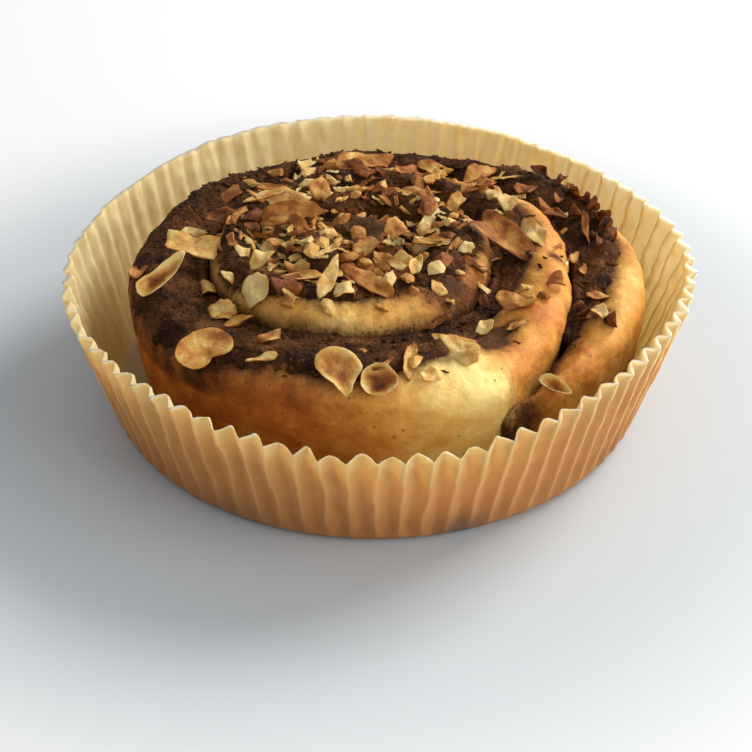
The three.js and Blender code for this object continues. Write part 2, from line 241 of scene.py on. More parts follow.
class Build:  # a geometry tree with named inputs, run once on a piece
    def __init__(self, name):
        self.tree = bpy.data.node_groups.new(name, "GeometryNodeTree")
        self.tree.interface.new_socket("Geometry", in_out="OUTPUT", socket_type="NodeSocketGeometry")
        self.tree.interface.new_socket("Geometry", in_out="INPUT", socket_type="NodeSocketGeometry")
        self.entry = self.tree.nodes.new("NodeGroupInput")
        self.exit = self.tree.nodes.new("NodeGroupOutput")
        self.values = {}

    def node(self, kind, settings=None, values=None, output=0):
        return addNode(self.tree, kind, settings, values, output)

    def number(self, name, value):
        kind = "NodeSocketInt" if isinstance(value, int) else "NodeSocketFloat"
        made = self.tree.interface.new_socket(name, in_out="INPUT", socket_type=kind)
        self.values[made.identifier] = value
        return Wire(self.tree, self.entry.outputs[name])

    def geometry(self):
        return Wire(self.tree, self.entry.outputs["Geometry"])

    def random(self, low, high, seed):
        values = {"Min": low, "Max": high, "Seed": seed}
        kind = "FLOAT_VECTOR" if isinstance(low, tuple) else "FLOAT"
        return self.node("FunctionNodeRandomValue", {"data_type": kind}, values, "Value")

    def apply(self, piece, result, material):
        result = self.node("GeometryNodeRealizeInstances", None, {"Geometry": result})
        result = self.node("GeometryNodeSetMaterial", None, {"Geometry": result, "Material": material})
        self.tree.links.new(result.socket, self.exit.inputs["Geometry"])
        modifier = piece.modifiers.new("build", "NODES")
        modifier.node_group = self.tree
        for identifier, value in self.values.items():
            modifier[identifier] = value
        evaluated = piece.evaluated_get(bpy.context.evaluated_depsgraph_get())
        mesh = bpy.data.meshes.new_from_object(evaluated)
        piece.modifiers.clear()
        piece.data = mesh
        return piece


# The paper case

caseSizes = {
    "base radius": 56.6,
    "slant": 31.0,
    "thickness": 0.4,
    "pleats": 80,
    "columns per pleat": 10,
    "rows": 81,
    "rim pleat": 2.4,
    "foot pleat": 0.95,
    "foot round": 2.2,
    "fold lift": 0.7,
    "pressed flat": 0.75,
    "flare": 16.1,  # degrees
    "sag lean": 1.2,  # degrees
    "sag drop": 2.4,
    "base share": 0.25,  # of the rows
    "pleat wander": 1.5,  # radians
    "rim wander": 1.6,
    "uneven depth": 0.9,
    "uneven height": 1.3,
}
# The soft wall leans out more in some places than in others: lobes, degrees, where.
leanWaves = [(1, 1.0, -31), (2, 1.2, 175), (3, 2.1, -40), (4, 2.7, 29)]
flattest = 125  # degrees, where the pleats are pressed flattest
saggiest = -86  # degrees, where the rim has sagged most
greaseSpots = [(-73, 5, 0.9), (-118, 8, 0.35), (-35, 5, 0.3), (100, 9, 0.3)]  # degrees, how wide, how dark


def casePaper():
    paper = Recipe(
        "greaseproof paper",
        Roughness=0.66,
        Specular_IOR_Level=0.25,
        Subsurface_Weight=0.8,
        Subsurface_Scale=0.0022,
        Subsurface_Radius=(1.0, 0.85, 0.65),
    )
    fold = paper.attribute("fold")  # 0 on an outer fold, 1 on an inner one
    up = paper.attribute("up")
    inside = paper.attribute("inside")
    fibres = paper.noise(2.4, 5.0, 0.65, (1, 1, 0.5))
    clouds = paper.noise(13.0, 3.0, 0.6)
    outer = paper.ramp(
        up + (clouds - 0.5) * 0.5,
        (0.0, (0.36, 0.152, 0.045)),
        (0.35, (0.475, 0.212, 0.062)),
        (0.75, (0.555, 0.277, 0.084)),
        (1.0, (0.64, 0.385, 0.148)),
    )
    inner = paper.blend(clouds, (0.575, 0.42, 0.215), (0.655, 0.50, 0.275))
    colour = paper.blend(inside, outer, inner)
    tip = up.between(0.82, 1.0) * 0.4
    colour = paper.blend(tip, colour, (0.64, 0.43, 0.20))
    # Painted highlight: a paler line along each outer fold's crest, where the fold catches the light. It is
    # strongest on the upper wall and weaker on the inside.
    creaseHighlight = (1 - fold.between(0.0, 0.3)) * up.between(0.02, 0.6) * (0.1 + clouds * 0.9)
    colour = paper.blend(creaseHighlight * (0.45 - inside * 0.3), colour, (0.74, 0.53, 0.27))
    colour = paper.blend(fibres.between(0.45, 0.8) * 0.22, colour, (0.36, 0.18, 0.07))
    grease = paper.attribute("grease") * (0.4 + clouds * 1.2) * (1 - inside)
    colour = paper.blend(grease, colour, (0.11, 0.075, 0.055))
    roughness = 0.52 + fibres * 0.25
    return paper.finish(colour, roughness, fibres + clouds * 0.6, 0.07)


def makeCase():
    build = Build("pleated case")
    size = {name: build.number(name, value) for name, value in caseSizes.items()}
    grid = build.node(
        "GeometryNodeMeshGrid",
        None,
        {
            "Size X": 1.0,
            "Size Y": 1.0,
            "Vertices X": size["pleats"] * size["columns per pleat"] + 1,
            "Vertices Y": size["rows"],
        },
    )
    position = build.node("GeometryNodeInputPosition")
    xyz = addNode(build.tree, "ShaderNodeSeparateXYZ", None, {0: position}).socket.node.outputs
    turn = Wire(build.tree, xyz["X"]) + 0.5
    path = Wire(build.tree, xyz["Y"]) + 0.5
    inside = path.above(0.5)
    along = path.least(1 - path) * 2  # 0 at the middle of the base, 1 at the rim
    base = (along / size["base share"]).least(1.0)
    up = ((along - size["base share"]) / (1 - size["base share"])).most(0.0)
    angle = turn * tau
    sag = (((angle - math.radians(saggiest)).cosine() + 1) * 0.5) ** 8.0
    lean = size["flare"] + sag * size["sag lean"]
    for lobes, degrees, at in leanWaves:
        lean = lean + (angle * float(lobes) - math.radians(at)).cosine() * degrees
    lean = lean * (math.pi / 180)
    ring = build.node("ShaderNodeCombineXYZ", None, {"X": angle.cosine(), "Y": angle.sine(), "Z": up * 0.4})
    wander = build.node("ShaderNodeTexNoise", None, {"Vector": ring, "Scale": 7.0, "Detail": 1.0}) - 0.5
    uneven = build.node("ShaderNodeTexNoise", None, {"Vector": ring, "Scale": 21.0, "Detail": 1.0}) - 0.5
    crease = (turn * size["pleats"] * math.pi + wander * size["pleat wander"]).sine()
    crease = crease.maths("ABSOLUTE", crease)
    fold = (crease + crease.maths("ARCSINE", crease) * (2 / math.pi)) * 0.5  # 0 outside, 1 and rounder inside
    depth = size["foot pleat"] + up**1.7 * (size["rim pleat"] - size["foot pleat"])
    depth = depth * up.between(-0.02, 0.16)
    pressed = (((angle - math.radians(flattest)).cosine() + 1) * 0.5) ** 2 * size["pressed flat"]
    depth = depth * (1 + uneven * size["uneven depth"] - pressed)
    foot = 1 - up.between(-0.07, 0.07)
    radius = base * size["base radius"] + up * size["slant"] * lean.sine() - fold * depth
    radius = radius - foot * size["foot round"] * base - inside * size["thickness"] * base.between(0.9, 1.0)
    radius = radius + wander * up * size["rim wander"]
    height = up * size["slant"] * lean.cosine() + up * fold * size["fold lift"]
    height = height + (uneven * size["uneven height"] - sag * size["sag drop"]) * up * up
    height = height + inside * (1 - up) * size["thickness"]
    place = build.node(
        "ShaderNodeCombineXYZ",
        None,
        {"X": radius * angle.cosine() * mm, "Y": radius * angle.sine() * mm, "Z": height * mm},
    )
    shape = grid
    for name, value in [("fold", fold), ("up", up), ("inside", inside)]:
        settings = {"data_type": "FLOAT", "domain": "POINT"}
        values = {"Geometry": shape, "Name": name, "Value": value}
        shape = build.node("GeometryNodeStoreNamedAttribute", settings, values)
    shape = build.node("GeometryNodeSetPosition", None, {"Geometry": shape, "Position": place})
    shape = build.node("GeometryNodeMergeByDistance", None, {"Geometry": shape, "Distance": 0.02 * mm})
    material = casePaper()
    piece = build.apply(meshPiece("paper_case_wall", [(0, 0, 0)], []), shape, material)
    turnOutward(piece)
    piece.data.shade_smooth()
    grease = []
    for vertex in piece.data.vertices:
        bearing = math.degrees(math.atan2(vertex.co.y, vertex.co.x))
        low = 1 - smooth(1.0, 9.0, vertex.co.z / mm)
        spots = sum(dark * math.exp(-(((bearing - at) / wide) ** 2)) for at, wide, dark in greaseSpots)
        grease.append(low * spots)
    setAttribute(piece, "grease", grease)
    placeOnFrame(piece, material, "greaseproof_paper", "paper_case")


# The plan of the swirl, which dough and filling share

bun = {
    "halfWidth": 53.6,
    "halfDepth": 48.4,
    "centre": (2.2, -2.0),
    "floor": 0.8,
    "crown": 36.6,
    "crownDrop": 6.4,
    "tailAngle": -62,
    "pitch": 16,
    "seamStart": 45.2,
    "tailWedge": 4.8,
    "tailTurns": 0.17,
    "tailSink": 8,
    "turns": 2.6,
    "bulge": 4.4,
    "crest": 0.4,
    "gap": 0.15,
}
seamCentre = {"outer": (-1.2, -2.4), "inner": (-5.2, 2.6)}
filling = {"web": 1.9, "coat": 1.4, "start": 0.085}
# How much of the strip's width the filling covers, at a number of turns from the tail.
spread = [
    (0, 0.2), (0.1, 0.3), (0.14, 0.34), (0.19, 0.62), (0.26, 0.92), (0.8, 0.97), (0.84, 0.84),
    (0.92, 0.74), (0.955, 0.55), (0.985, 0.4), (1.03, 0.28), (1.08, 0.2), (1.14, 0.36), (1.19, 0.6),
    (1.3, 0.5), (1.42, 0.8), (1.75, 0.85), (1.84, 0.62), (2.0, 0.62), (2.15, 0.85), (2.6, 0.7),
]
stationsPerTurn = 380


def angleAt(turn):
    return math.radians(bun["tailAngle"] + 360 * turn)


def seam(turn):
    drift = smooth(0.6, bun["turns"], turn)
    wedge = bun["tailWedge"] * clamp(1 - turn / bun["tailTurns"]) ** 2
    radius = bun["seamStart"] - bun["pitch"] * turn + wedge
    angle = angleAt(turn)
    centre = [mix(a, b, drift) for a, b in zip(seamCentre["outer"], seamCentre["inner"])]
    return Vector((centre[0] + radius * math.cos(angle), centre[1] + radius * math.sin(angle)))


def bunOutline(turn):
    angle = angleAt(turn)
    x, y = bun["centre"]
    return Vector((x + bun["halfWidth"] * math.cos(angle), y + bun["halfDepth"] * math.sin(angle)))


def outerSide(turn):
    return bunOutline(turn).lerp(seam(turn - 1), smooth(0.93, 1.05, turn))


def ridgeHeight(x, y, turn):
    share = math.hypot(x - bun["centre"][0], y - bun["centre"][1]) / bun["halfDepth"]
    tail = bun["tailSink"] * clamp(1 - turn / 0.12) ** 2
    wave = 0.7 * math.sin(3.1 * angleAt(turn)) + 0.4 * math.cos(7 * angleAt(turn) + 1)
    return bun["crown"] - bun["crownDrop"] * share * share - tail + wave * share


def coverage(turn):  # the spread, with a ragged edge
    ragged = 1 + 0.13 * grain(turn * 25, 3, 0, 1) + 0.06 * grain(turn * 110, 8, 0, 1)
    start = smooth(filling["start"], filling["start"] + 0.05, turn)
    return clamp(lookUp(spread, turn) * ragged * mix(0.4, 1, start), 0.06, 1.0)


class Station:  # one cross-section of the strip: its two sides, width and heights
    def __init__(self, turn):
        self.turn = turn
        self.outer = outerSide(turn)
        across = seam(min(turn, bun["turns"] + 1)) - self.outer
        width = across.length
        self.inwards = across / width
        self.onOutside = 1 - smooth(0.95, 1.08, turn)
        top = self.outer + self.inwards * width * 0.3
        self.ridge = ridgeHeight(top.x, top.y, turn)
        halfSeam = filling["web"] / 2 + bun["gap"]
        self.start = halfSeam * (1 - self.onOutside)
        self.end = max(width - halfSeam, 0.9)
        self.crest = mix(self.start, self.end, bun["crest"])
        self.shoulder = self.ridge - mix(5.2, 4.6, self.onOutside)
        self.trough = self.ridge - mix(4.2, 2.6, self.onOutside)
        self.edge = self.end - (self.end - self.start) * coverage(turn)  # of the filling

    def top(self, d):
        if d < self.crest:
            share = clamp((self.crest - d) / (self.crest - self.start))
            return mix(self.shoulder, self.ridge, math.sqrt(1 - share * share))
        share = clamp((d - self.crest) / (self.end - self.crest))
        return mix(self.ridge, self.trough, share * share * (2 - share))

    def place(self, d, z):
        spot = self.outer + self.inwards * d
        return (spot.x, spot.y, z)


def stripMesh(name, stations, section, smearAt=None):  # a closed tube through equal sections
    rings = [section(s) for s in stations]
    count = len(rings[0])
    spots = [(s, d, z) for s, ring in zip(stations, rings) for d, z in ring]
    points = [s.place(d, z) for s, d, z in spots]
    faces = []
    for i in range(len(rings) - 1):
        for j in range(count):
            a, b = i * count + j, i * count + (j + 1) % count
            faces.append((a, b, b + count, a + count))
    for first in (0, (len(rings) - 1) * count):  # the ends are capped
        middle = len(points)
        ring = points[first : first + count]
        points.append(tuple(sum(axis) / count for axis in zip(*ring)))
        faces += [(first + j, first + (j + 1) % count, middle) for j in range(count)]
    piece = meshPiece(name, points, faces)
    if smearAt:
        setAttribute(piece, "smear", [smearAt(*spot) for spot in spots] + [1.0, 1.0])
    turnOutward(piece)
    return piece


def roughen(piece, pushAt, keepBelow=4.0):  # pushAt gives how far a point moves outwards, in mm
    mesh = piece.data
    normals = [v.normal.copy() for v in mesh.vertices]
    for vertex, normal in zip(mesh.vertices, normals):
        x, y, z = (value / mm for value in vertex.co)
        fade = smooth(keepBelow - 3, keepBelow + 3, z)
        if fade:
            vertex.co += normal * pushAt(x, y, z) * fade * mm
        vertex.co.z = max(vertex.co.z, bun["floor"] * mm)
    mesh.update()


# The dough


def doughSection(s):
    undercut = bun["bulge"] * s.onOutside * clamp((s.end - s.start) / 8)
    section = [(mix(s.end, s.start + undercut + 1, share), bun["floor"]) for share in (0, 0.5, 1)]
    for i in range(15):  # outer side, swelling from the foot to the shoulder
        rise = i / 14
        out = undercut * (1 - math.sin(rise * math.pi / 2)) ** 1.2
        section.append((s.start + out, mix(bun["floor"] + 0.8, s.shoulder, rise)))
    for i in range(1, 15):
        bend = i / 14 * math.pi / 2
        d = s.crest - (s.crest - s.start) * math.cos(bend)
        section.append((d, s.top(d)))
    for i in range(1, 13):
        d = mix(s.crest, s.end, i / 12)
        section.append((d, s.top(d) - 0.5 * smooth(10, 12, i)))
    for rise in (0.85, 0.6, 0.35, 0.15):
        section.append((s.end, mix(bun["floor"], s.trough - 0.5, rise)))
    return section


def doughStain(s, d, z):  # how brown the filling has made the dough near its edge
    fromEdge = s.edge - d if z > s.trough - 6 else 9
    stain = 0.95 * math.exp(-max(fromEdge, 0) / doughLooks["stain reach"])
    if s.onOutside < 0.5:  # the filling of the turn before lies against the outer side
        lap = mix(0.35, 0.9, smooth(1.2, 1.5, s.turn))
        stain = max(stain, lap * math.exp(-max(d - s.start, 0) / 2.4), 0.22 * smooth(1.15, 1.35, s.turn))
    elif z < s.shoulder - 3:
        stain *= math.exp(-(s.shoulder - 3 - z) / 3)
    return stain


def heartOfSwirl():
    middle = Vector(seamCentre["inner"])
    count = 150
    points, faces = [], []
    edge = []
    for i in range(count):
        spot = seam(bun["turns"] - 1 + (i + 0.5) / count)
        reach = (spot - middle).length
        edge.append(middle + (spot - middle) * (max(reach - filling["web"] / 2 - bun["gap"], 1.2) / reach))
    top = bun["crown"]
    levels = [(1, bun["floor"]), (1, top * 0.5), (1, top - 5.5)]
    levels += [(1 - 0.08 * b * b, top - 5.5 + 2.9 * b) for b in (0.35, 0.7, 1)]
    levels += [(0.84, top - 1.4), (0.72, top - 0.8), (0.55, top - 1.1), (0.38, top - 2.0), (0.2, top - 3.0)]
    for share, z in levels:
        points += [(*middle.lerp(spot, share), z) for spot in edge]
    bottom, peak = len(points), len(points) + 1
    points += [(*middle, bun["floor"]), (*middle, top - 3.4)]
    for j in range(count):
        after = (j + 1) % count
        for i in range(len(levels) - 1):
            a, b = i * count + j, i * count + after
            faces.append((a, b, b + count, a + count))
        faces.append((bottom, after, j))
        faces.append((peak, (len(levels) - 1) * count + j, (len(levels) - 1) * count + after))
    piece = meshPiece("dough_heart", points, faces)
    turnOutward(piece)
    return piece


doughLooks = {
    "stain reach": 3.2,
    # Bearing from the bun's centre in degrees, and how deeply the side is baked there.
    "side": [
        (-180, 0.58), (-140, 0.66), (-112, 0.64), (-96, 0.5), (-82, 0.2), (-70, 0.08), (-62, 0.1),
        (-57, 0.42), (-40, 0.42), (-15, 0.38), (30, 0.4), (90, 0.5), (180, 0.58),
    ],
    # Paler or browner places on top: x, y, radius, how much deeper.
    "top": [
        (35, 8, 10, 0.05), (36, -10, 8, 0.07), (31, -25, 5, 0.24), (27.5, -38, 6, 0.26), (14, -43, 12, -0.34),
        (-8, -28, 14, -0.1), (16, -20, 8, 0.3), (50, -20, 9, 0.05),
    ],
    # Brown smears and painted shade: x, y, radius, strength. The last two paint the shade on the tail's end,
    # where it turns under.
    "smearsAndShade": [
        (16, -19, 9, 0.78), (8, -21, 8, 0.4), (44, -20, 5, 1.0), (24.5, -32.5, 3.6, 0.85),
        (27, -28.6, 2, 1.0), (23, -28.6, 2, 0.8), (37, -6, 3.2, 0.85), (19, -33, 4.5, 0.7),
        (22, -37, 3, 0.5), (38, 22, 8, 0.9), (31, 27, 8, 0.7), (5, 27, 9, 0.7), (44, -5, 2.6, 0.6),
        (47, 3, 5, 0.5), (-5, 4, 17, 0.95), (12, 8, 10, 0.8), (31, -49.5, 6, 1.0), (30, -46, 4.5, 0.7),
    ],
    # Knobs and dents: x, y, radius, how far the dough is pushed out.
    "knobs": [
        (31, -24.5, 4.5, 1.3), (24.5, -32, 4, -1.3), (36, -12, 4, 0.9), (37, -4, 3.5, -0.9), (36, 5, 5, 1.0),
        (34, 15, 4.5, 0.9), (14, -20, 4, -0.7), (19, -43, 5, 0.6),
    ],
    "puffed": [(35, 1, 18, 1.0)],  # the folds at the right
}


def bakedDough():
    dough = Recipe(
        "baked dough",
        Roughness=0.5,
        Specular_IOR_Level=0.2,
        Subsurface_Weight=0.18,
        Subsurface_Scale=0.003,
        Subsurface_Radius=(1.0, 0.45, 0.2),
    )
    bake = dough.attribute("bake")
    smear = dough.attribute("smear")
    clouds = dough.noise(11.0, 4.0, 0.6)
    blotches = dough.noise(4.2, 3.0, 0.6)
    fine = dough.noise(1.5, 4.0, 0.65)
    pores = dough.noise(0.55, 2.0)
    level = bake + (clouds - 0.5) * 0.6 + (blotches - 0.5) * 0.4 + (fine - 0.5) * 0.2
    crust = dough.ramp(
        level,
        (0.0, (1.0, 0.77, 0.285)),
        (0.2, (0.83, 0.49, 0.125)),
        (0.42, (0.68, 0.295, 0.052)),
        (0.66, (0.45, 0.130, 0.018)),
        (1.0, (0.15, 0.038, 0.009)),
    )
    grains = dough.noise(0.8, 3.0, 0.7)
    # The smear attribute holds brown smears from the filling and painted shade on the tail's turned-under
    # end. Both darken the crust here.
    stainAndShade = (smear + (blotches - 0.5) * 0.6 + (grains - 0.5) * 0.35).between(0.12, 0.95)
    colour = dough.blend(stainAndShade * 0.88, crust, (0.145, 0.045, 0.008))
    dark = (smear + (blotches - 0.5) * 0.5 + (grains - 0.5) * 0.7).between(0.7, 1.05)
    colour = dough.blend(dark * 0.9, colour, (0.055, 0.020, 0.006))
    specks = 1 - dough.cells(4.3).between(0.05, 0.085)
    colour = dough.blend(specks * 0.6, colour, (0.10, 0.035, 0.014))
    roughness = 0.46 + fine * 0.2 + stainAndShade * 0.2
    return dough.finish(colour, roughness, blotches * 0.8 + fine * 0.6 + pores * 0.2 + dark * 0.8, 0.4)


def colourDough(piece):
    bake, smear = [], [1.0] * len(piece.data.vertices)  # the heart lies under filling
    if "smear" in piece.data.attributes:
        piece.data.attributes["smear"].data.foreach_get("value", smear)
        piece.data.attributes.remove(piece.data.attributes["smear"])
    x0, y0 = bun["centre"]
    for index, vertex in enumerate(piece.data.vertices):
        x, y, z = (value / mm for value in vertex.co)
        away = math.hypot((x - x0) / bun["halfWidth"], (y - y0) / bun["halfDepth"])
        bearing = math.degrees(math.atan2(y - y0, x - x0))
        side = smooth(0.84, 0.95, away) * (1 - 0.6 * smooth(27, 33, z))
        level = 0.36 + spotsAt(doughLooks["top"], x, y)
        low = 0.14 * (1 - smooth(6, 22, z))  # paler where the case kept the heat off
        bake.append(mix(level, lookUp(doughLooks["side"], bearing) - low, side))
        if z > 14:
            # Brown smears on top, and painted shade on the tail's turned-under end.
            smear[index] = clamp(max(smear[index], spotsAt(doughLooks["smearsAndShade"], x, y)))
    setAttribute(piece, "bake", bake)
    setAttribute(piece, "smear", smear)


def doughPush(x, y, z):
    puffed = spotsAt(doughLooks["puffed"], x, y)
    push = 0.75 * grain(x, y, z, 15, 3.0) + 0.34 * grain(x, y, z, 4.5, 7.0) + 0.12 * grain(x, y, z, 1.5, 1.0)
    if z > 24:
        push += spotsAt(doughLooks["knobs"], x, y)
    return push + puffed * (1.4 * grain(x, y, z, 7.5, 5.0, 2) + 0.5 * grain(x, y, z, 3.2, 2.0, 2))


def heartPush(x, y, z):
    return 0.7 * grain(x, y, z, 7, 5.0) + 0.3 * clods(x, y, z, 2.2)


def makeDough():
    stations = [Station(i / stationsPerTurn) for i in range(1, int((bun["turns"] + 0.03) * stationsPerTurn))]
    strip = stripMesh("dough_strip", stations, doughSection, doughStain)
    heart = heartOfSwirl()
    roughen(strip, doughPush)
    roughen(heart, heartPush)
    material = bakedDough()
    for piece in (strip, heart):
        colourDough(piece)
        placeOnFrame(piece, material, "baked_dough", "dough_swirl")
    return [strip, heart]


# The filling


def fillingSection(s):
    top = [(mix(s.end, s.edge, i / 11), s.top(mix(s.end, s.edge, i / 11)) - 0.3) for i in range(12)]
    section = [(s.end + bun["gap"], bun["floor"]), (s.end + bun["gap"], s.trough * 0.6), *top]
    section.append((s.edge - 0.2, s.top(s.edge) + 0.05))
    for i in range(1, 26):
        d = mix(s.edge, s.end, i / 26)
        fromEdge = min(d - s.edge, s.end - d + 2)
        x, y, z = s.place(d, 0)
        lump = 1 + 0.35 * grain(x, y, 0, 4.0, 9.0)
        section.append((d, s.top(d) + filling["coat"] * lump * math.sqrt(smooth(0, 3.5, fromEdge))))
    face = s.end + bun["gap"] + filling["web"]
    section.append((s.end + 0.4, s.trough + filling["coat"] * 1.4))
    section.append((face - 0.3, s.trough + filling["coat"] * 1.1))
    section += [(face, s.trough * rise + bun["floor"] * (1 - rise)) for rise in (0.9, 0.5, 0)]
    return section


def fillingPush(x, y, z):
    clumps = 0.55 * clods(x, y, z, 2.6) + 0.42 * clods(x + 7, y, z, 1.25)
    return clumps + 0.45 * grain(x, y, z, 6, 4.0) + 0.12 * grain(x, y, z, 0.9, 8.0, 2)


def darkFilling():
    sugar = Recipe("cinnamon filling", Roughness=0.6, Specular_IOR_Level=0.1)
    clouds = sugar.noise(8.0, 3.0)
    clumps = sugar.noise(2.4, 3.0, 0.6)
    grains = sugar.noise(0.7, 4.0, 0.75)
    crumbs = sugar.cells(0.95)
    colour = sugar.ramp(
        clouds * 0.45 + clumps * 0.25 + grains * 0.3,
        (0.38, (0.013, 0.0048, 0.0018)),
        (0.46, (0.042, 0.0145, 0.0042)),
        (0.53, (0.092, 0.031, 0.0076)),
        (0.62, (0.17, 0.064, 0.016)),
    )
    glints = grains.between(0.60, 0.72) * crumbs.between(0.2, 0.5) * 0.5
    colour = sugar.blend(glints, colour, (0.30, 0.20, 0.085))
    roughness = 0.5 + crumbs * 0.4
    return sugar.finish(colour, roughness, crumbs * 0.7 + grains * 0.9 + clumps * 0.4, 0.55)


def makeFilling():
    turns = range(int(filling["start"] * stationsPerTurn), int((bun["turns"] - 0.05) * stationsPerTurn))
    piece = stripMesh("filling_swirl", [Station(i / stationsPerTurn) for i in turns], fillingSection)
    roughen(piece, fillingPush, 20.0)
    placeOnFrame(piece, darkFilling(), "dark_filling", "cinnamon_filling")
    return piece


# The nuts


def treeOf(pieces):
    points, faces = [], []
    for piece in pieces:
        offset = len(points)
        points += [v.co.copy() for v in piece.data.vertices]
        faces += [[index + offset for index in polygon.vertices] for polygon in piece.data.polygons]
    return BVHTree.FromPolygons(points, faces)


def heightUnder(surface, x, y):
    hit = surface.ray_cast(Vector((x * mm, y * mm, 0.1)), Vector((0, 0, -1)))
    return hit[0].z / mm if hit[0] else None


